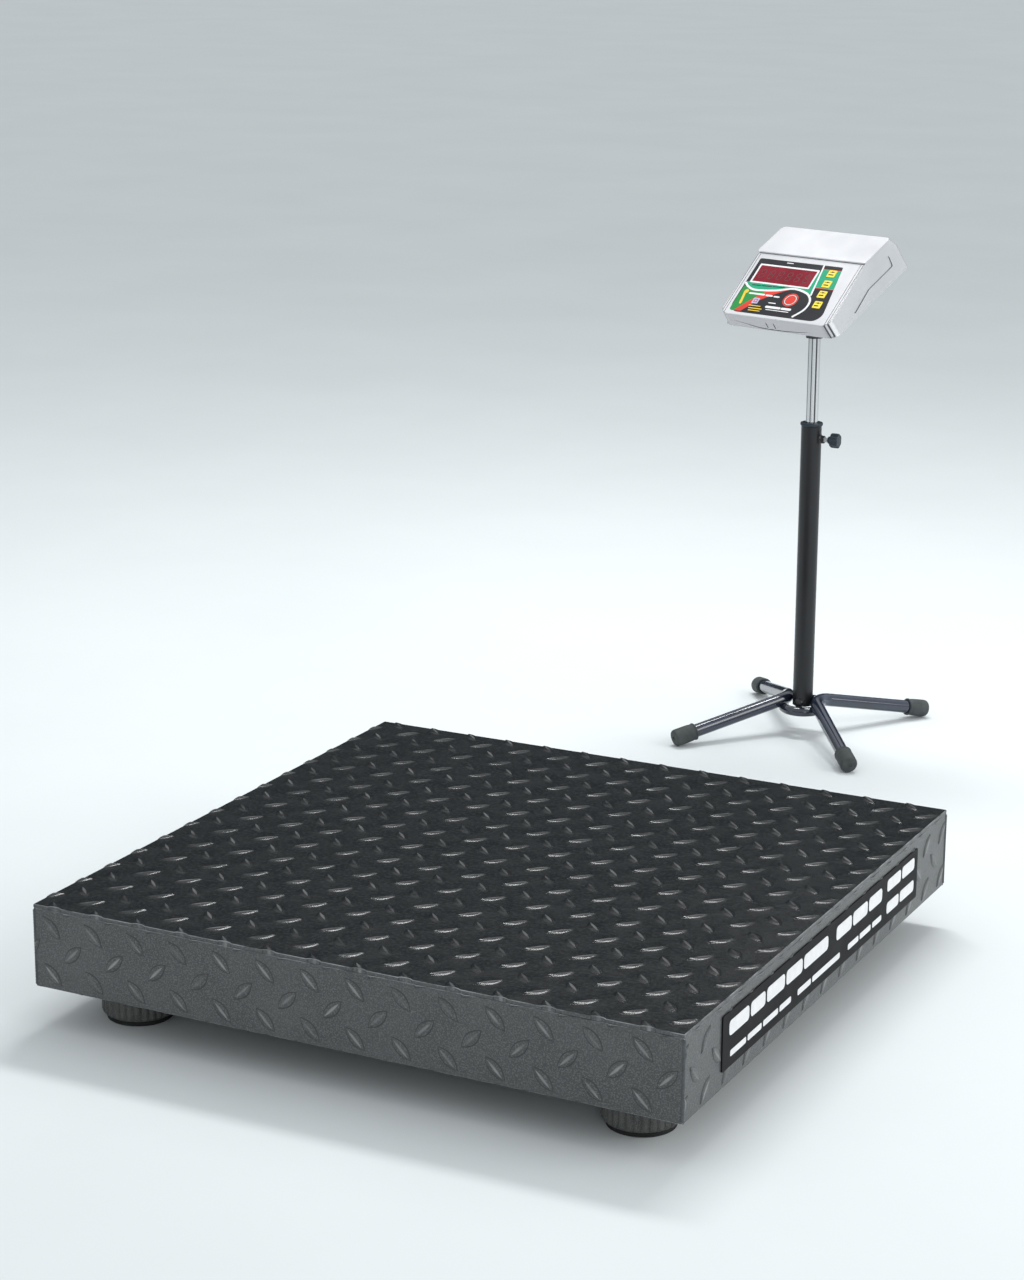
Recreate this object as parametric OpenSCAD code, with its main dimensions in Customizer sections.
// Pallet scale: a low square weighing platform of lugged plate on four levelling feet,
// with a separate stand whose telescopic mast carries a tilting indicator.
// The origin is on the floor under the middle of the platform, +X to the right along
// its front side, +Y to the back and +Z up. All sizes are in millimetres.

/* [Platform] */
// Length of each side of the platform
platform_side = 900; // [850:10:1000]
// Height of the deck's top face above the floor
deck_top = 167; // [165:1:175]
// Thickness of the deck plate
deck_t = 6; // [4:1:8]
// Height of the skirts' lower edge above the floor
skirt_bottom = 55; // [50:1:58]
// Thickness of the skirt plates
skirt_t = 5; // [3:1:6]
// Distance of each foot's axis from the platform's sides
foot_inset = 95; // [90:1:110]

/* [Levelling feet] */
// Diameter of the ribbed hand wheel
wheel_d = 98; // [90:1:110]
// Number of ribs round the hand wheel
wheel_ribs = 30; // [20:2:36]
// Height of the hand wheel's top face
wheel_top = 42; // [36:1:44]
// Diameter of the levelling stud
stud_d = 20; // [16:1:20]

/* [Load cells] */
// Length of a load cell
cell_len = 130; // [120:1:140]
// Width and height of a load cell
cell_w = 32; // [30:1:34]
// Diameter of the load cell leads
lead_d = 5; // [4:0.5:6]

/* [Stand] */
// Distance of the column to the right of the platform's middle
stand_x = -63; // [-200:1:200]
// Distance of the column behind the platform's middle
stand_y = 1205; // [1000:5:1400]
// Outside diameter of the column
column_d = 34; // [32:1:38]
// Height of the column's top end
column_top = 530; // [500:5:600]
// Diameter of the leg tubes
leg_d = 22; // [19:1:25]
// Diameter of the rubber boots
boot_d = 29; // [27:1:32]
// Sideways reach of a leg from its bend
leg_reach_x = 137; // [120:1:160]
// Fore and aft reach of a leg from its bend
leg_reach_y = 184; // [160:1:200]
// Fall of a leg from its bend to its boot
leg_drop = 46.5; // [40:0.5:55]

/* [Mast] */
// Diameter of the sliding mast tube
mast_d = 20; // [18:1:22]
// Height of the mast tube's top end
mast_top = 704; // [690:1:800]
// Length of the mast tube
mast_len = 434; // [400:1:450]

/* [Indicator] */
// Width of the indicator at its base
head_w = 222; // [210:1:240]
// Turn of the indicator about the mast
head_yaw = -14; // [-90:1:90]
// Forward tilt of the indicator
head_pitch = 25.5; // [0:0.5:35]
// Wall thickness of the housing
shell_t = 2.5; // [2:0.5:3]

/* [Hidden] */
$fn = 48;

// Overrun of a cutting shape past the face it cuts
eps = 1;
// Radial clearance of a shaft that turns or slides in a bore
run_gap = 0.05;

// --- platform frame ---
half = platform_side / 2;
deck_under = deck_top - deck_t;
skirt_h = deck_under - skirt_bottom;
foot_pos = half - foot_inset;
rail_h = 60;
rail_w = 50;
rail_wall = 4;
rail_bottom = deck_under - rail_h;
rail_half_len = half - skirt_t;
channel_w = 30;
channel_half_len = foot_pos - rail_w / 2;
channel_xs = [-315, -45, 45, 315];

// --- load cells and their fasteners ---
spacer_t = 8;
spacer_len = 55;
cell_top = rail_bottom - spacer_t;
cell_bottom = cell_top - cell_w;
cell_mid = (cell_top + cell_bottom) / 2;
cell_end = cell_w / 2;
cell_bolt_offsets = [74, 99];
cell_bolt_d = 12;
cell_bolt_hole_d = 13;
bolt_head_h = 7.5;
bolt_af = 19;
bolt_nut_h = 10;
gauge_pocket_d = 22;
gauge_pocket_depth = 10;
gauge_pocket_offset = 43;

// --- levelling feet ---
sole_d = 86;
sole_t = 6;
sole_gap = 0.2;
pivot_d = 16;
pivot_top = 20;
wheel_chamfer = 4;
rib_r = 3.4;
lock_nut_h = 12;
lock_nut_af = 30;
stud_top = cell_top - 2;

// --- junction box, glands, leads and clips ---
box_x = 170;
box_y = 90;
box_wall = 3;
lid_t = 3;
box_bottom = cell_bottom + lid_t;
box_h = rail_bottom - box_bottom;
board_t = 1.6;
board_z = 88;
board_x = 140;
board_y = 62;
post_d = 6;
terminal_x = 26;
terminal_y = 9;
gland_x = 40;
gland_thread_d = 16;
gland_thread_len = 12;
gland_hex_af = 20;
gland_hex_h = 6;
gland_dome_d = 17;
gland_dome_h = 10;
gland_bore_d = lead_d + 0.2;
lead_bend = 25;
outlet_x = -330;
outlet_z = 100;
clip_w = 10;
clip_wall = 4;

// --- side label ---
label_y0 = -341;
label_y1 = 328;
label_z0 = 77;
label_z1 = 147;
label_t = 0.4;

// --- stand ---
column_wall = 2;
column_bottom = 48;
column_bore = column_d - 2 * column_wall;
collar_flange_d = 37.4;
collar_flange_h = 5;
collar_len = 40;
clamp_z = column_top - 22.5;
boss_d = 13;
boss_out = 6.8;
leg_wall = 1.5;
leg_vertex_x = 18.7;
leg_bend = 40;
bend_thinning = 0.04;
bend_overlap = 1;
hub_overlap = 14;
boot_len = 40;
boot_end_t = 4;
leg_len = norm([leg_reach_x, leg_reach_y, leg_drop]);
leg_plane_tilt = atan(leg_drop / leg_reach_x);
leg_half_angle = atan(leg_reach_y / norm([leg_reach_x, leg_drop]));
leg_slope = asin(leg_drop / leg_len);
leg_vertex_z = leg_drop + boot_d / 2 * cos(leg_slope);
leg_tangent = leg_bend / tan(leg_half_angle);
leg_bend_centre = leg_bend / sin(leg_half_angle);
ring_r = 33;
ring_d = 16;
ring_z = 44;
bar_t = 5;
bar_h = 14;
bar_half_len = 30;
hub_z = 54;
column_bolt_d = 8;
column_bolt_hole_d = 8.4;
column_head_d = 17;
column_head_h = 6;
column_nut_af = 13;
column_nut_h = 6.5;
rivet_x = 17.2;
rivet_head_d = 5;
rivet_head_h = 1.5;
rivet_d = 3;

// --- clamp screw ---
pad_gap = 0.3;
pad_d = 7.2;
pad_len = 3.2;
pad_spigot_d = 3;
pad_spigot_len = 2.5;
clamp_d = 8;
clamp_hole_d = 9;
clamp_neck = 6.8;
knob_hub_d = 12;
knob_hub_len = 5;
knob_lobes = 6;
knob_lobe_d = 6.4;
knob_pitch_r = 9.2;
knob_len = 14;
knob_socket = 12;
pad_x = mast_d / 2 + pad_gap;
stud_x = pad_x + pad_len + run_gap;
neck_x = column_d / 2 + boss_out;
knob_x = neck_x + clamp_neck;

// --- mast and swivel ---
mast_wall = 1.5;
guide_len = 30;
yoke_sleeve_d = 28;
yoke_sleeve_len = 28;
yoke_top_gap = 0.2;
pivot_z = 717;
yoke_plate_x = 44;
yoke_plate_y = 30;
yoke_plate_t = 5;
ear_t = 4;
ear_r = 12;
tilt_bolt_d = 8;
ear_gap = 0.3;

// --- indicator housing: y is forward to back and h is the height over its base ---
base_h = 25;
head_half = head_w / 2;
top_half = head_half - 6;
lip_bottom_y = -98;
lip_top_y = -105;
lip_h = 28.5;
panel_top_y = 25;
panel_top_h = 65;
back_top_y = 100;
back_mid_y = 117;
back_mid_h = 45;
back_bottom_y = 125;
corner_r = 16;
back_corner_r = 6;
panel_slope = atan((panel_top_h - lip_h) / (panel_top_y - lip_top_y));
back_slope = atan((back_bottom_y - back_mid_y) / back_mid_h);
profile = [[lip_bottom_y, 0], [lip_top_y, lip_h], [panel_top_y, panel_top_h],
    [back_top_y, panel_top_h], [back_mid_y, back_mid_h], [back_bottom_y, 0]];
pan_t = 2;
cap_t = 2.5;
cap_half = 107;
cap_front_y = 23.5;
cap_back_y = 101.5;
screw_d = 3.5;
screw_len = 12;
screw_head_d = 6.4;
screw_head_h = 1.8;
boss_post_d = 8;
screw_spots = [[-92, -82], [92, -82], [-92, 104], [92, 104]];
bracket_spots = [[-13, -17], [13, -17], [-13, 17], [13, 17]];
bracket_x = 56;
bracket_y = 46;
bracket_t = 3;

// --- things on the sloping front panel: x sideways and t up the slope ---
overlay_t = 0.5;
overlay_low = 6;
overlay_high = 122;
overlay_left = -94;
overlay_right_low = 89;
overlay_right_high = 70;
overlay_r = 18;
window_x0 = -84;
window_x1 = 29;
window_t0 = 72;
window_t1 = 108;
key_w = 15;
key_h = 14.6;
key_gap = 0.2;
key_proud = 0.5;
key_flange = 1;
key_flange_t = 1;
key_flange_gap = 0.1;
key_travel = 0.8;
key_spots = [[57, 106], [59.5, 84], [62.5, 62], [65.5, 40]];
front_board_depth = 12;
front_board_x0 = -88;
front_board_x1 = 78;
front_board_t0 = 30;
front_board_t1 = 118;
digits = 6;
digit_w = 15;
digit_h = 24;
digit_pitch = 17.6;
digit_block_h = 7;
tact_h = 4;
tact_w = 6;
stem_d = 4;

// --- inside and behind the indicator ---
main_board_x = 150;
main_board_y = 92;
main_board_front = -80;
main_board_h = 9;
chip_x = 40;
chip_y = 30;
chip_h = 8;
battery_x = 104;
battery_y = 64;
battery_h = 46;
battery_front = 38;
rear_gland_xs = [-70, -40];
rear_gland_v = 22;
switch_x = 60;
switch_w = 13;
switch_h = 19;
switch_bezel = 2;
switch_body_depth = 14;
rocker_r = 6.5;
rocker_w = 9.6;
rocker_turn = 8;

// ---------- helpers ----------

// Points of an arc about c from angle a0 to a1
function arc(c, r, a0, a1, n = 10) =
    [for (i = [0:n]) c + r * [cos(a0 + (a1 - a0) * i / n), sin(a0 + (a1 - a0) * i / n)]];

// Hexagonal prism standing on z = 0, with its width across flats
module hexagon(af, h) {
    cylinder(d = af / cos(30), h = h, $fn = 6);
}

// A copy of the children at each of the four feet, their -X side towards the middle
module at_feet() {
    for (sx = [-1, 1], sy = [-1, 1])
        translate([sx * foot_pos, sy * foot_pos, 0])
            rotate([0, 0, sx < 0 ? 180 : 0])
                children();
}

// ---------- platform ----------

module deck_plate() {
    color([0.13, 0.14, 0.15])
        translate([-half, -half, deck_under])
            cube([platform_side, platform_side, deck_t]);
}

module skirt_front() {
    color([0.26, 0.28, 0.29])
        translate([-half, -half, skirt_bottom])
            cube([platform_side, skirt_t, skirt_h]);
}

module skirt_back() {
    color([0.26, 0.28, 0.29])
        difference() {
            translate([-half, half - skirt_t, skirt_bottom])
                cube([platform_side, skirt_t, skirt_h]);
            translate([outlet_x, half - skirt_t - eps, outlet_z])
                rotate([-90, 0, 0])
                    cylinder(d = gland_thread_d, h = skirt_t + 2 * eps);
        }
}

module skirt_left() {
    color([0.3, 0.31, 0.33])
        translate([-half, skirt_t - half, skirt_bottom])
            cube([skirt_t, platform_side - 2 * skirt_t, skirt_h]);
}

module skirt_right() {
    color([0.3, 0.31, 0.33])
        translate([half - skirt_t, skirt_t - half, skirt_bottom])
            cube([skirt_t, platform_side - 2 * skirt_t, skirt_h]);
}

module side_label() {
    color([0.1, 0.1, 0.11])
        translate([half, label_y0, label_z0])
            cube([label_t, label_y1 - label_y0, label_z1 - label_z0]);
}

// Vertical holes for the bolts of all four load cells
module cell_bolt_places() {
    at_feet()
        for (offset = cell_bolt_offsets)
            translate([-offset, 0, 0])
                children();
}

module frame_rails() {
    color([0.2, 0.2, 0.21])
        difference() {
            for (sy = [-1, 1])
                translate([-rail_half_len, sy * foot_pos - rail_w / 2, rail_bottom])
                    difference() {
                        cube([2 * rail_half_len, rail_w, rail_h]);
                        translate([-eps, rail_wall, rail_wall])
                            cube([2 * (rail_half_len + eps), rail_w - 2 * rail_wall,
                                rail_h - 2 * rail_wall]);
                    }
            cell_bolt_places()
                translate([0, 0, rail_bottom - eps])
                    cylinder(d = cell_bolt_hole_d, h = rail_wall + 2 * eps);
        }
}

module cross_channels() {
    color([0.2, 0.2, 0.21])
        for (x = channel_xs)
            translate([x, 0, rail_bottom])
                mirror([x < 0 ? 1 : 0, 0, 0])
                    difference() {
                        translate([-channel_w / 2, -channel_half_len, 0])
                            cube([channel_w, 2 * channel_half_len, rail_h]);
                        translate([rail_wall - channel_w / 2, -channel_half_len - eps, rail_wall])
                            cube([channel_w, 2 * (channel_half_len + eps),
                                rail_h - 2 * rail_wall]);
                    }
}

module cell_spacers() {
    color([0.55, 0.56, 0.58])
        difference() {
            at_feet()
                translate([cell_end - cell_len, -cell_w / 2, cell_top])
                    cube([spacer_len, cell_w, spacer_t]);
            cell_bolt_places()
                translate([0, 0, cell_top - eps])
                    cylinder(d = cell_bolt_hole_d, h = spacer_t + 2 * eps);
        }
}

module load_cells() {
    color([0.75, 0.76, 0.78])
        difference() {
            at_feet()
                difference() {
                    translate([cell_end - cell_len, -cell_w / 2, cell_bottom])
                        cube([cell_len, cell_w, cell_w]);
                    translate([0, 0, cell_bottom - eps])
                        cylinder(d = stud_d + 2 * run_gap, h = cell_w + 2 * eps);
                    for (side = [-1, 1])
                        translate([-gauge_pocket_offset, side * (cell_w / 2 + eps), cell_mid])
                            rotate([side * 90, 0, 0])
                                cylinder(d = gauge_pocket_d, h = gauge_pocket_depth + eps);
                }
            cell_bolt_places()
                translate([0, 0, cell_bottom - eps])
                    cylinder(d = cell_bolt_hole_d, h = cell_w + 2 * eps);
        }
}

module cell_fasteners() {
    color([0.6, 0.6, 0.62])
        cell_bolt_places() {
            translate([0, 0, cell_bottom - bolt_head_h]) {
                hexagon(bolt_af, bolt_head_h);
                cylinder(d = cell_bolt_d,
                    h = bolt_head_h + rail_bottom - cell_bottom + rail_wall + bolt_nut_h + 2);
            }
            translate([0, 0, rail_bottom + rail_wall])
                difference() {
                    hexagon(bolt_af, bolt_nut_h);
                    translate([0, 0, -eps])
                        cylinder(d = cell_bolt_d + 2 * run_gap, h = bolt_nut_h + 2 * eps);
                }
        }
}

module foot_lock_nuts() {
    color([0.6, 0.6, 0.62])
        at_feet()
            translate([0, 0, cell_bottom - lock_nut_h])
                difference() {
                    hexagon(lock_nut_af, lock_nut_h);
                    translate([0, 0, -eps])
                        cylinder(d = stud_d + 2 * run_gap, h = lock_nut_h + 2 * eps);
                }
}

// ---------- junction box and leads ----------

// A copy of the children at each gland of the junction box, pointing out along +Z
module box_gland_places() {
    for (sx = [-1, 1], sy = [-1, 1])
        translate([sx * gland_x, sy * box_y / 2, cell_mid])
            rotate([-sy * 90, 0, 0])
                children();
    translate([-box_x / 2, 0, cell_mid])
        rotate([0, -90, 0])
            children();
}

module junction_box() {
    color([0.62, 0.63, 0.65])
        difference() {
            union() {
                difference() {
                    translate([-box_x / 2, -box_y / 2, box_bottom])
                        cube([box_x, box_y, box_h]);
                    translate([box_wall - box_x / 2, box_wall - box_y / 2, box_bottom - eps])
                        cube([box_x - 2 * box_wall, box_y - 2 * box_wall,
                            box_h - box_wall + eps]);
                }
                for (sx = [-1, 1], sy = [-1, 1])
                    translate([sx * (board_x / 2 - 8), sy * (board_y / 2 - 8),
                            board_z + board_t])
                        cylinder(d = post_d, h = rail_bottom - box_wall - board_z - board_t);
            }
            box_gland_places()
                translate([0, 0, -box_wall - eps])
                    cylinder(d = gland_thread_d, h = box_wall + 2 * eps);
        }
}

module junction_lid() {
    color([0.55, 0.56, 0.58])
        translate([-box_x / 2, -box_y / 2, box_bottom - lid_t])
            cube([box_x, box_y, lid_t]);
}

module junction_board() {
    color([0.1, 0.4, 0.2]) {
        translate([-board_x / 2, -board_y / 2, board_z])
            cube([board_x, board_y, board_t]);
        for (sx = [-1, 1], sy = [-1, 1])
            translate([sx * gland_x - terminal_x / 2,
                    sy * (board_y / 2 - terminal_y / 2) - terminal_y / 2, cell_mid - 5])
                cube([terminal_x, terminal_y, board_z - cell_mid + 5]);
    }
}

module cable_glands() {
    color([0.12, 0.12, 0.13]) {
        box_gland_places()
            gland(box_wall);
        translate([outlet_x, half, outlet_z])
            rotate([-90, 0, 0])
                gland(skirt_t);
    }
}

// A cable gland whose flange sits on z = 0 and whose thread passes the wall below it
module gland(wall) {
    difference() {
        union() {
            translate([0, 0, -wall - gland_thread_len / 2])
                cylinder(d = gland_thread_d, h = wall + gland_thread_len / 2);
            hexagon(gland_hex_af, gland_hex_h);
            translate([0, 0, gland_hex_h])
                cylinder(d = gland_dome_d, h = gland_dome_h / 2);
            translate([0, 0, gland_hex_h + gland_dome_h / 2])
                cylinder(d1 = gland_dome_d, d2 = gland_dome_d * 0.7, h = gland_dome_h / 2);
        }
        translate([0, 0, -wall - gland_thread_len / 2 - eps])
            cylinder(d = gland_bore_d, h = wall + gland_thread_len + gland_hex_h + gland_dome_h);
    }
}

// One lead: out of the cell's inner end along X, round a bend, and along Y into the box
module cell_cable() {
    run_x = foot_pos + cell_end - cell_len - gland_x - lead_bend;
    run_y = foot_pos - lead_bend - board_y / 2;
    translate([gland_x + lead_bend, foot_pos, cell_mid])
        rotate([0, 90, 0])
            cylinder(d = lead_d, h = run_x);
    translate([gland_x + lead_bend, foot_pos - lead_bend, cell_mid])
        rotate([0, 0, 90])
            rotate_extrude(angle = 90)
                translate([lead_bend, 0])
                    circle(d = lead_d);
    translate([gland_x, board_y / 2, cell_mid])
        rotate([-90, 0, 0])
            cylinder(d = lead_d, h = run_y);
}

module cell_cables() {
    color([0.15, 0.15, 0.16])
        for (mx = [0, 1], my = [0, 1])
            mirror([mx, 0, 0])
                mirror([0, my, 0])
                    cell_cable();
}

// A clip that hangs from the frame and holds a lead running along Y
module lead_clip() {
    difference() {
        translate([-clip_w / 2, -clip_w / 2, cell_mid - lead_d / 2 - clip_wall])
            cube([clip_w, clip_w, rail_bottom - cell_mid + lead_d / 2 + clip_wall]);
        translate([0, -clip_w, cell_mid])
            rotate([-90, 0, 0])
                cylinder(d = gland_bore_d, h = 2 * clip_w);
    }
}

module cable_clips() {
    color([0.2, 0.2, 0.2])
        for (sx = [-1, 1], sy = [-1, 1]) {
            translate([sx * gland_x, sy * 200, 0])
                lead_clip();
            translate([sx * 150, sy * foot_pos, 0])
                rotate([0, 0, 90])
                    lead_clip();
        }
}

// ---------- levelling feet ----------

module foot_sole() {
    color([0.12, 0.12, 0.12]) {
        cylinder(d = sole_d, h = sole_t);
        cylinder(d = pivot_d, h = pivot_top);
    }
}

module foot_screw() {
    wheel_bottom = sole_t + sole_gap;
    wheel_r = wheel_d / 2;
    color([0.2, 0.21, 0.22])
        difference() {
            union() {
                translate([0, 0, wheel_bottom])
                    cylinder(r1 = wheel_r - wheel_chamfer, r2 = wheel_r, h = wheel_chamfer);
                translate([0, 0, wheel_bottom + wheel_chamfer])
                    cylinder(r = wheel_r, h = wheel_top - wheel_bottom - wheel_chamfer);
                translate([0, 0, wheel_bottom])
                    cylinder(d = stud_d, h = stud_top - wheel_bottom);
            }
            for (i = [0:wheel_ribs - 1])
                rotate([0, 0, i * 360 / wheel_ribs])
                    translate([wheel_r + rib_r * 0.35, 0, wheel_bottom - eps])
                        cylinder(r = rib_r, h = wheel_top, $fn = 24);
            translate([0, 0, -eps])
                cylinder(d = pivot_d + 2 * run_gap, h = pivot_top + 2 * eps);
        }
}

module foot_at(sx, sy) {
    translate([sx * foot_pos, sy * foot_pos, 0])
        children();
}

// ---------- stand ----------

module on_stand() {
    translate([stand_x, stand_y, 0])
        children();
}

// Frame of the right-hand leg pair: its plane is z = 0 and its legs open along +X
module leg_plane() {
    translate([leg_vertex_x, 0, leg_vertex_z])
        rotate([0, leg_plane_tilt, 0])
            children();
}

// The bend of one leg pair as a round bar, run on past each leg's end by overlap degrees
module bend_bar(d, overlap) {
    translate([leg_bend_centre, 0, 0])
        rotate([0, 0, 90 + leg_half_angle - overlap])
            rotate_extrude(angle = 180 - 2 * leg_half_angle + 2 * overlap)
                translate([leg_bend, 0])
                    circle(d = d);
}

// Both legs and the bend of one leg pair, as a round bar of diameter d
module leg_bar(d, length) {
    for (side = [-1, 1])
        rotate([0, 0, side * leg_half_angle])
            translate([leg_tangent, 0, 0])
                rotate([0, 90, 0])
                    cylinder(d = d, h = length - leg_tangent);
    bend_bar(d - bend_thinning, bend_overlap);
}

module leg_tube() {
    color([0.1, 0.12, 0.18])
        leg_plane()
            difference() {
                leg_bar(leg_d, leg_len - boot_end_t);
                leg_bar(leg_d - 2 * leg_wall, leg_len);
            }
}

module leg_tube_right() {
    on_stand()
        leg_tube();
}

module leg_tube_left() {
    on_stand()
        rotate([0, 0, 180])
            leg_tube();
}

// The solid space that the bends of both leg pairs take up at the hub
module bend_space() {
    for (turn = [0, 180])
        rotate([0, 0, turn])
            leg_plane()
                bend_bar(leg_d, hub_overlap);
}

module leg_boots() {
    color([0.22, 0.24, 0.25])
        on_stand()
            for (turn = [0, 180], side = [-1, 1])
                rotate([0, 0, turn])
                    leg_plane()
                        rotate([0, 0, side * leg_half_angle])
                            translate([leg_len - boot_len, 0, 0])
                                rotate([0, 90, 0])
                                    difference() {
                                        cylinder(d = boot_d, h = boot_len);
                                        translate([0, 0, -eps])
                                            cylinder(d = leg_d, h = boot_len - boot_end_t + eps);
                                    }
}

module outer_tube() {
    color([0.11, 0.11, 0.12])
        on_stand()
            difference() {
                translate([0, 0, column_bottom])
                    cylinder(d = column_d, h = column_top - column_bottom);
                translate([0, 0, column_bottom - eps])
                    cylinder(d = column_bore, h = column_top - column_bottom + 2 * eps);
                translate([0, 0, clamp_z])
                    rotate([0, 90, 0])
                        cylinder(d = clamp_hole_d, h = column_d);
                translate([0, -column_d, hub_z])
                    rotate([-90, 0, 0])
                        cylinder(d = column_bolt_hole_d, h = 2 * column_d);
            }
}

module tube_collar() {
    color([0.08, 0.09, 0.1])
        on_stand()
            difference() {
                union() {
                    translate([0, 0, column_top - collar_len])
                        cylinder(d = column_bore - 2 * run_gap, h = collar_len);
                    translate([0, 0, column_top])
                        cylinder(d = collar_flange_d, h = collar_flange_h);
                }
                translate([0, 0, column_top - collar_len - eps])
                    cylinder(d = mast_d + 2 * run_gap, h = collar_len + collar_flange_h + 2 * eps);
                translate([0, 0, clamp_z])
                    rotate([0, 90, 0])
                        cylinder(d = clamp_hole_d, h = column_d);
            }
}

module clamp_boss() {
    color([0.11, 0.11, 0.12])
        on_stand()
            difference() {
                translate([column_bore / 2, 0, clamp_z])
                    rotate([0, 90, 0])
                        cylinder(d = boss_d, h = column_wall + boss_out);
                translate([0, 0, clamp_z - boss_d])
                    cylinder(d = column_d, h = 2 * boss_d);
                translate([0, 0, clamp_z])
                    rotate([0, 90, 0])
                        cylinder(d = clamp_d + 2 * run_gap, h = column_d);
            }
}

module hub_ring() {
    color([0.1, 0.12, 0.18])
        on_stand()
            difference() {
                translate([0, 0, ring_z])
                    rotate([0, 0, 180])
                        rotate_extrude(angle = 180)
                            translate([ring_r, 0])
                                circle(d = ring_d);
                bend_space();
            }
}

module cross_bar() {
    color([0.12, 0.13, 0.16])
        on_stand()
            difference() {
                translate([-bar_half_len, column_d / 2, hub_z - bar_h / 2])
                    cube([2 * bar_half_len, bar_t, bar_h]);
                bend_space();
                translate([0, column_d / 2 - eps, hub_z])
                    rotate([-90, 0, 0])
                        cylinder(d = column_bolt_hole_d, h = bar_t + 2 * eps);
                for (side = [-1, 1])
                    translate([side * rivet_x, column_d / 2 - eps, hub_z])
                        rotate([-90, 0, 0])
                            cylinder(d = rivet_d, h = bar_t + 2 * eps);
            }
}

module hub_rivets() {
    color([0.3, 0.32, 0.36])
        on_stand()
            for (side = [-1, 1])
                translate([side * rivet_x, column_d / 2 - rivet_head_h, hub_z])
                    rotate([-90, 0, 0]) {
                        cylinder(d = rivet_head_d, h = rivet_head_h);
                        cylinder(d = rivet_d, h = bar_t + 2 * rivet_head_h);
                        translate([0, 0, bar_t + rivet_head_h])
                            cylinder(d = rivet_head_d, h = rivet_head_h);
                    }
}

module column_bolt() {
    dome_r = (column_head_d * column_head_d / 4 + column_head_h * column_head_h)
        / (2 * column_head_h);
    color([0.12, 0.12, 0.14])
        on_stand()
            translate([0, -column_d / 2, hub_z])
                rotate([-90, 0, 0]) {
                    intersection() {
                        translate([0, 0, dome_r - column_head_h])
                            sphere(r = dome_r);
                        translate([0, 0, -column_head_h])
                            cylinder(d = column_head_d + eps, h = column_head_h);
                    }
                    cylinder(d = column_bolt_d, h = column_d + bar_t + column_nut_h + 2);
                    translate([0, 0, column_d + bar_t])
                        difference() {
                            hexagon(column_nut_af, column_nut_h);
                            translate([0, 0, -eps])
                                cylinder(d = column_bolt_d + 2 * run_gap,
                                    h = column_nut_h + 2 * eps);
                        }
                }
}

// ---------- clamp screw, its axis along +X from the mast ----------

module on_clamp(x) {
    translate([stand_x + x, stand_y, clamp_z])
        rotate([0, 90, 0])
            children();
}

module clamp_pad() {
    color([0.85, 0.85, 0.8])
        on_clamp(pad_x) {
            cylinder(d = pad_d, h = pad_len);
            cylinder(d = pad_spigot_d, h = pad_len + pad_spigot_len);
        }
}

module clamp_stud() {
    color([0.7, 0.71, 0.73])
        on_clamp(stud_x)
            difference() {
                cylinder(d = clamp_d, h = knob_x + knob_socket - stud_x);
                translate([0, 0, -eps])
                    cylinder(d = pad_spigot_d + 2 * run_gap, h = pad_spigot_len + 2 * eps);
            }
}

module clamp_knob() {
    color([0.1, 0.13, 0.17])
        on_clamp(knob_x)
            difference() {
                union() {
                    cylinder(d = knob_hub_d, h = knob_hub_len + knob_len);
                    translate([0, 0, knob_hub_len]) {
                        cylinder(r = knob_pitch_r, h = knob_len);
                        for (i = [0:knob_lobes - 1])
                            rotate([0, 0, i * 360 / knob_lobes])
                                translate([knob_pitch_r, 0, 0])
                                    cylinder(d = knob_lobe_d, h = knob_len);
                    }
                }
                translate([0, 0, -eps])
                    cylinder(d = clamp_d, h = knob_socket + eps);
            }
}

// ---------- mast and swivel ----------

module inner_tube() {
    color([0.8, 0.81, 0.82])
        on_stand()
            translate([0, 0, mast_top - mast_len])
                difference() {
                    cylinder(d = mast_d, h = mast_len);
                    translate([0, 0, -eps])
                        cylinder(d = mast_d - 2 * mast_wall, h = mast_len + 2 * eps);
                }
}

module mast_guide() {
    color([0.85, 0.85, 0.8])
        on_stand()
            translate([0, 0, mast_top - mast_len])
                difference() {
                    cylinder(d = column_bore - 2 * run_gap, h = guide_len);
                    translate([0, 0, -eps])
                        cylinder(d = mast_d, h = guide_len + 2 * eps);
                }
}

module swivel_yoke() {
    sleeve_top = mast_top + yoke_top_gap + 2;
    plate_z = sleeve_top - yoke_plate_t + 3;
    color([0.3, 0.31, 0.33])
        on_stand()
            rotate([0, 0, head_yaw])
                difference() {
                    union() {
                        translate([0, 0, mast_top - yoke_sleeve_len])
                            cylinder(d = yoke_sleeve_d, h = sleeve_top - mast_top + yoke_sleeve_len);
                        translate([-yoke_plate_x / 2, -yoke_plate_y / 2, plate_z])
                            cube([yoke_plate_x, yoke_plate_y, yoke_plate_t]);
                        for (side = [-1, 1])
                            translate([side * (yoke_plate_x / 2 - ear_t / 2), 0, 0]) {
                                translate([-ear_t / 2, -ear_r, plate_z])
                                    cube([ear_t, 2 * ear_r, pivot_z - plate_z]);
                                translate([-ear_t / 2, 0, pivot_z])
                                    rotate([0, 90, 0])
                                        cylinder(r = ear_r, h = ear_t);
                            }
                    }
                    translate([0, 0, mast_top - yoke_sleeve_len - eps])
                        cylinder(d = mast_d + 2 * run_gap,
                            h = yoke_sleeve_len + yoke_top_gap + eps);
                    translate([-yoke_plate_x, 0, pivot_z])
                        rotate([0, 90, 0])
                            cylinder(d = tilt_bolt_d + 2 * run_gap, h = 2 * yoke_plate_x);
                }
}

// ---------- indicator ----------

// The indicator's own frame: the tilt axis is X and z = 0 is its height
module on_tilt() {
    translate([stand_x, stand_y, pivot_z])
        rotate([0, 0, head_yaw])
            rotate([head_pitch, 0, 0])
                children();
}

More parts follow.
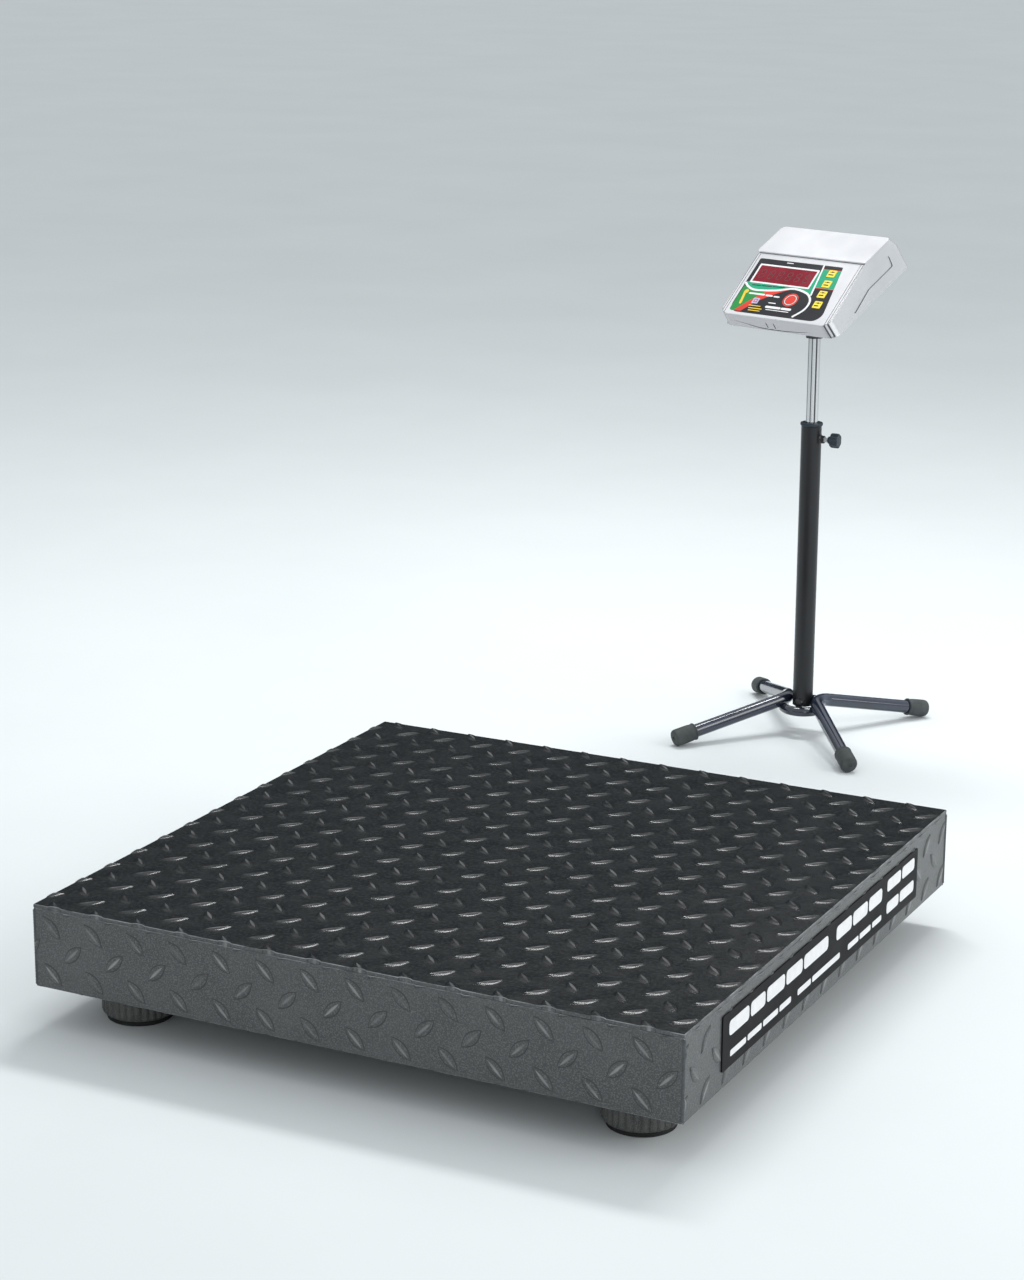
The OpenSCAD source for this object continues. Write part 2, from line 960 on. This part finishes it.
// The indicator's frame with z = 0 at the underside of its housing
module on_head() {
    on_tilt()
        translate([0, 0, base_h])
            children();
}

// The front panel's frame: x sideways, y up the slope, z out of the panel
module on_panel() {
    on_head()
        translate([0, lip_top_y, lip_h])
            rotate([panel_slope, 0, 0])
                children();
}

// The back wall's frame: x sideways, y up the wall, z out of the wall
module on_back() {
    on_head()
        translate([0, back_bottom_y, 0])
            rotate([90 + back_slope, 0, 0])
                mirror([0, 0, 1])
                    children();
}

// The housing's outer form, drawn in by the given inset
module head_form(inset) {
    intersection() {
        translate([-head_half, 0, 0])
            rotate([90, 0, 90])
                linear_extrude(head_w)
                    polygon([[lip_bottom_y + inset, -eps * sign(inset)],
                        [lip_top_y + inset, lip_h - inset * 0.8],
                        [panel_top_y, panel_top_h - inset],
                        [back_top_y - inset * 0.4, panel_top_h - inset],
                        [back_mid_y - inset, back_mid_h - inset * 0.4],
                        [back_bottom_y - inset, -eps * sign(inset)]]);
        translate([0, back_bottom_y, 0])
            rotate([90, 0, 0])
                linear_extrude(back_bottom_y - lip_top_y)
                    polygon([[inset - head_half, -eps], [head_half - inset, -eps],
                        [head_half - inset, 0], [top_half - inset, panel_top_h],
                        [inset - top_half, panel_top_h], [inset - head_half, 0]]);
        translate([0, 0, -eps])
            linear_extrude(panel_top_h + 2 * eps)
                plan_outline(inset);
    }
}

// Plan of the housing, with large front corners and small back ones
module plan_outline(inset) {
    x = head_half - inset;
    front = lip_top_y + inset;
    back = back_bottom_y - inset;
    r = corner_r - inset;
    rb = back_corner_r - inset;
    polygon(concat(
        arc([r - x, front + r], r, 180, 270),
        arc([x - r, front + r], r, 270, 360),
        arc([x - rb, back - rb], rb, 0, 90),
        arc([rb - x, back - rb], rb, 90, 180)));
}

module screw_holes(d, depth) {
    for (spot = screw_spots)
        translate([spot[0], spot[1], -eps])
            cylinder(d = d, h = depth + eps);
}

module housing_shell() {
    color([0.86, 0.86, 0.88]) {
        difference() {
            on_head()
                difference() {
                    head_form(0);
                    head_form(shell_t);
                }
            on_panel()
                panel_cuts(shell_t * 2);
            on_back()
                back_cuts();
        }
        on_head()
            difference() {
                intersection() {
                    for (spot = screw_spots)
                        translate([spot[0], spot[1], pan_t])
                            cylinder(d = boss_post_d, h = panel_top_h);
                    head_form(0.5);
                }
                screw_holes(screw_d, screw_len + eps);
            }
    }
}

// The window's and the keys' openings, cut to the given depth below the panel
module panel_cuts(depth) {
    translate([window_x0, window_t0, -depth])
        cube([window_x1 - window_x0, window_t1 - window_t0, depth + 2 * eps]);
    for (spot = key_spots)
        translate([spot[0] - key_w / 2 - key_gap, spot[1] - key_h / 2 - key_gap, -depth])
            cube([key_w + 2 * key_gap, key_h + 2 * key_gap, depth + 2 * eps]);
}

module back_cuts() {
    for (x = rear_gland_xs)
        translate([x, rear_gland_v, -2 * shell_t])
            cylinder(d = gland_thread_d, h = 3 * shell_t);
    translate([switch_x - switch_w / 2, rear_gland_v - switch_h / 2, -2 * shell_t])
        cube([switch_w, switch_h, 3 * shell_t]);
}

module base_pan() {
    fit = shell_t + 0.2;
    color([0.75, 0.76, 0.78])
        on_head()
            difference() {
                intersection() {
                    head_form(fit);
                    translate([-head_half, lip_top_y, 0])
                        cube([head_w, back_bottom_y - lip_top_y, pan_t]);
                }
                screw_holes(screw_d + 0.3, pan_t + eps);
                for (spot = bracket_spots)
                    translate([spot[0], spot[1], -eps])
                        cylinder(d = screw_d, h = pan_t + 2 * eps);
            }
}

module top_cap() {
    color([0.88, 0.88, 0.9])
        on_head()
            translate([-cap_half, cap_front_y, panel_top_h])
                cube([2 * cap_half, cap_back_y - cap_front_y, cap_t]);
}

// A pan-head screw whose head's upper face is z = 0
module screw(length) {
    translate([0, 0, -screw_head_h])
        cylinder(d = screw_head_d, h = screw_head_h);
    translate([0, 0, -screw_head_h])
        cylinder(d = screw_d, h = screw_head_h + length);
}

module housing_screws() {
    color([0.6, 0.6, 0.62])
        on_head() {
            for (spot = screw_spots)
                translate([spot[0], spot[1], 0])
                    screw(screw_len);
            for (spot = bracket_spots)
                translate([spot[0], spot[1], -bracket_t])
                    screw(bracket_t + pan_t + 1);
        }
}

module tilt_bracket() {
    ear_x = yoke_plate_x / 2 + ear_gap;
    color([0.3, 0.31, 0.33])
        on_tilt()
            difference() {
                union() {
                    translate([-bracket_x / 2, -bracket_y / 2, base_h - bracket_t])
                        cube([bracket_x, bracket_y, bracket_t]);
                    for (side = [-1, 1])
                        translate([side * (ear_x + ear_t / 2) - ear_t / 2, 0, 0]) {
                            translate([0, -ear_r, 0])
                                cube([ear_t, 2 * ear_r, base_h - bracket_t]);
                            rotate([0, 90, 0])
                                cylinder(r = ear_r, h = ear_t);
                        }
                }
                translate([-bracket_x, 0, 0])
                    rotate([0, 90, 0])
                        cylinder(d = tilt_bolt_d, h = 2 * bracket_x);
                for (spot = bracket_spots)
                    translate([spot[0], spot[1], base_h - bracket_t - eps])
                        cylinder(d = screw_d, h = bracket_t + 2 * eps);
            }
}

module tilt_bolt() {
    ear_out = yoke_plate_x / 2 + ear_gap + ear_t;
    color([0.65, 0.66, 0.68])
        on_tilt()
            rotate([0, 90, 0]) {
                translate([0, 0, -ear_out - column_nut_h - 2])
                    cylinder(d = tilt_bolt_d, h = 2 * ear_out + column_nut_h + 2);
                translate([0, 0, ear_out])
                    hexagon(column_nut_af, column_nut_h);
                translate([0, 0, -ear_out - column_nut_h])
                    difference() {
                        hexagon(column_nut_af, column_nut_h);
                        translate([0, 0, -eps])
                            cylinder(d = tilt_bolt_d + 2 * run_gap, h = column_nut_h + 2 * eps);
                    }
            }
}

module front_overlay() {
    slant = atan((overlay_right_low - overlay_right_high) / (overlay_high - overlay_low));
    corner_x = overlay_right_low - overlay_r * (tan(slant) + 1 / cos(slant));
    color([0.17, 0.17, 0.2])
        on_panel()
            difference() {
                linear_extrude(overlay_t)
                    polygon(concat(
                        arc([overlay_left + overlay_r, overlay_low + overlay_r],
                            overlay_r, 180, 270),
                        arc([corner_x, overlay_low + overlay_r], overlay_r, 270, 360 + slant),
                        [[overlay_right_high, overlay_high], [overlay_left, overlay_high]]));
                panel_cuts(eps);
            }
}

module display_window() {
    color([0.45, 0.08, 0.12])
        on_panel()
            translate([window_x0, window_t0, -shell_t])
                cube([window_x1 - window_x0, window_t1 - window_t0, shell_t]);
}

// The board behind the panel, with its row of digit blocks and the keys' switches
module front_board() {
    window_mid = (window_x0 + window_x1) / 2;
    window_mid_t = (window_t0 + window_t1) / 2;
    color([0.1, 0.35, 0.2])
        on_panel()
            translate([0, 0, -front_board_depth]) {
                translate([front_board_x0, front_board_t0, -board_t])
                    cube([front_board_x1 - front_board_x0, front_board_t1 - front_board_t0,
                        board_t]);
                for (i = [0:digits - 1])
                    translate([window_mid + (i - (digits - 1) / 2) * digit_pitch - digit_w / 2,
                            window_mid_t - digit_h / 2, 0])
                        cube([digit_w, digit_h, digit_block_h]);
                for (spot = key_spots)
                    translate([spot[0] - tact_w / 2, spot[1] - tact_w / 2, 0])
                        cube([tact_w, tact_w, tact_h]);
            }
}

// A key cap with the flange that keeps it behind the panel and the stem that works its switch
module key(spot) {
    flange_top = -shell_t * 1.05 - key_flange_gap;
    color([0.95, 0.86, 0.15])
        on_panel()
            translate([spot[0], spot[1], 0]) {
                translate([-key_w / 2, -key_h / 2, flange_top - key_flange_t])
                    cube([key_w, key_h, key_proud + overlay_t + key_flange_t - flange_top]);
                translate([-key_w / 2 - key_flange, -key_h / 2 - key_flange,
                        flange_top - key_flange_t])
                    cube([key_w + 2 * key_flange, key_h + 2 * key_flange, key_flange_t]);
                translate([0, 0, tact_h + key_travel + run_gap - front_board_depth])
                    cylinder(d = stem_d, h = front_board_depth - tact_h - key_travel - shell_t);
            }
}

module main_board() {
    color([0.1, 0.35, 0.2])
        on_head() {
            translate([-main_board_x / 2, main_board_front, main_board_h])
                cube([main_board_x, main_board_y, board_t]);
            for (sx = [-1, 1], y = [8, main_board_y - 8])
                translate([sx * (main_board_x / 2 - 8), main_board_front + y, pan_t])
                    cylinder(d = post_d, h = main_board_h - pan_t);
            translate([-chip_x / 2, main_board_front + main_board_y / 2, main_board_h + board_t])
                cube([chip_x, chip_y, chip_h]);
        }
}

module battery() {
    color([0.2, 0.2, 0.22])
        on_head()
            translate([-battery_x / 2, battery_front, pan_t])
                cube([battery_x, battery_y, battery_h]);
}

module rear_glands() {
    color([0.1, 0.1, 0.11])
        on_back()
            for (x = rear_gland_xs)
                translate([x, rear_gland_v, 0])
                    gland(shell_t);
}

// The rocker's pivot lies just inside the switch's bezel
module on_switch() {
    on_back()
        translate([switch_x, rear_gland_v, 0])
            children();
}

module power_switch() {
    color([0.08, 0.08, 0.09])
        on_switch()
            difference() {
                union() {
                    translate([-switch_w / 2 - switch_bezel / 2, -switch_h / 2 - switch_bezel / 2, 0])
                        cube([switch_w + switch_bezel, switch_h + switch_bezel, switch_bezel]);
                    translate([-switch_w / 2, -switch_h / 2, -switch_body_depth])
                        cube([switch_w, switch_h, switch_body_depth]);
                }
                translate([-rocker_w / 2 - key_gap, -rocker_r - key_gap, -rocker_r - key_gap])
                    cube([rocker_w + 2 * key_gap, 2 * (rocker_r + key_gap),
                        rocker_r + switch_bezel + 2 * eps]);
            }
}

// A rocker cut from a round bar, so that it turns within its own circle
module power_rocker() {
    color([0.75, 0.1, 0.1])
        on_switch()
            rotate([rocker_turn, 0, 0])
                translate([-rocker_w / 2, 0, 0])
                    rotate([0, 90, 0])
                        difference() {
                            cylinder(r = rocker_r, h = rocker_w);
                            for (side = [-1, 1])
                                rotate([0, 0, side * 2 * rocker_turn])
                                    translate([-rocker_r - rocker_r / 2, side > 0 ? 0 : -rocker_r,
                                            -eps])
                                        cube([rocker_r, rocker_r, rocker_w + 2 * eps]);
                        }
}

// ---------- the nodes ----------

deck_plate();
skirt_front();
skirt_back();
skirt_left();
skirt_right();
frame_rails();
cross_channels();
cell_spacers();
load_cells();
cell_fasteners();
foot_lock_nuts();
junction_box();
junction_lid();
junction_board();
cell_cables();
cable_glands();
cable_clips();
side_label();
foot_at(-1, -1) foot_sole();  // foot_sole_fl
foot_at(-1, -1) foot_screw();  // foot_screw_fl
foot_at(1, -1) foot_sole();  // foot_sole_fr
foot_at(1, -1) foot_screw();  // foot_screw_fr
foot_at(-1, 1) foot_sole();  // foot_sole_bl
foot_at(-1, 1) foot_screw();  // foot_screw_bl
foot_at(1, 1) foot_sole();  // foot_sole_br
foot_at(1, 1) foot_screw();  // foot_screw_br
outer_tube();
tube_collar();
clamp_boss();
leg_tube_left();
leg_tube_right();
hub_ring();
cross_bar();
hub_rivets();
column_bolt();
leg_boots();
clamp_pad();
clamp_stud();
clamp_knob();
inner_tube();
mast_guide();
swivel_yoke();
tilt_bracket();
tilt_bolt();
base_pan();
housing_shell();
top_cap();
housing_screws();
front_overlay();
display_window();
front_board();
main_board();
battery();
rear_glands();
power_switch();
power_rocker();
key(key_spots[0]);  // key_1
key(key_spots[1]);  // key_2
key(key_spots[2]);  // key_3
key(key_spots[3]);  // key_4
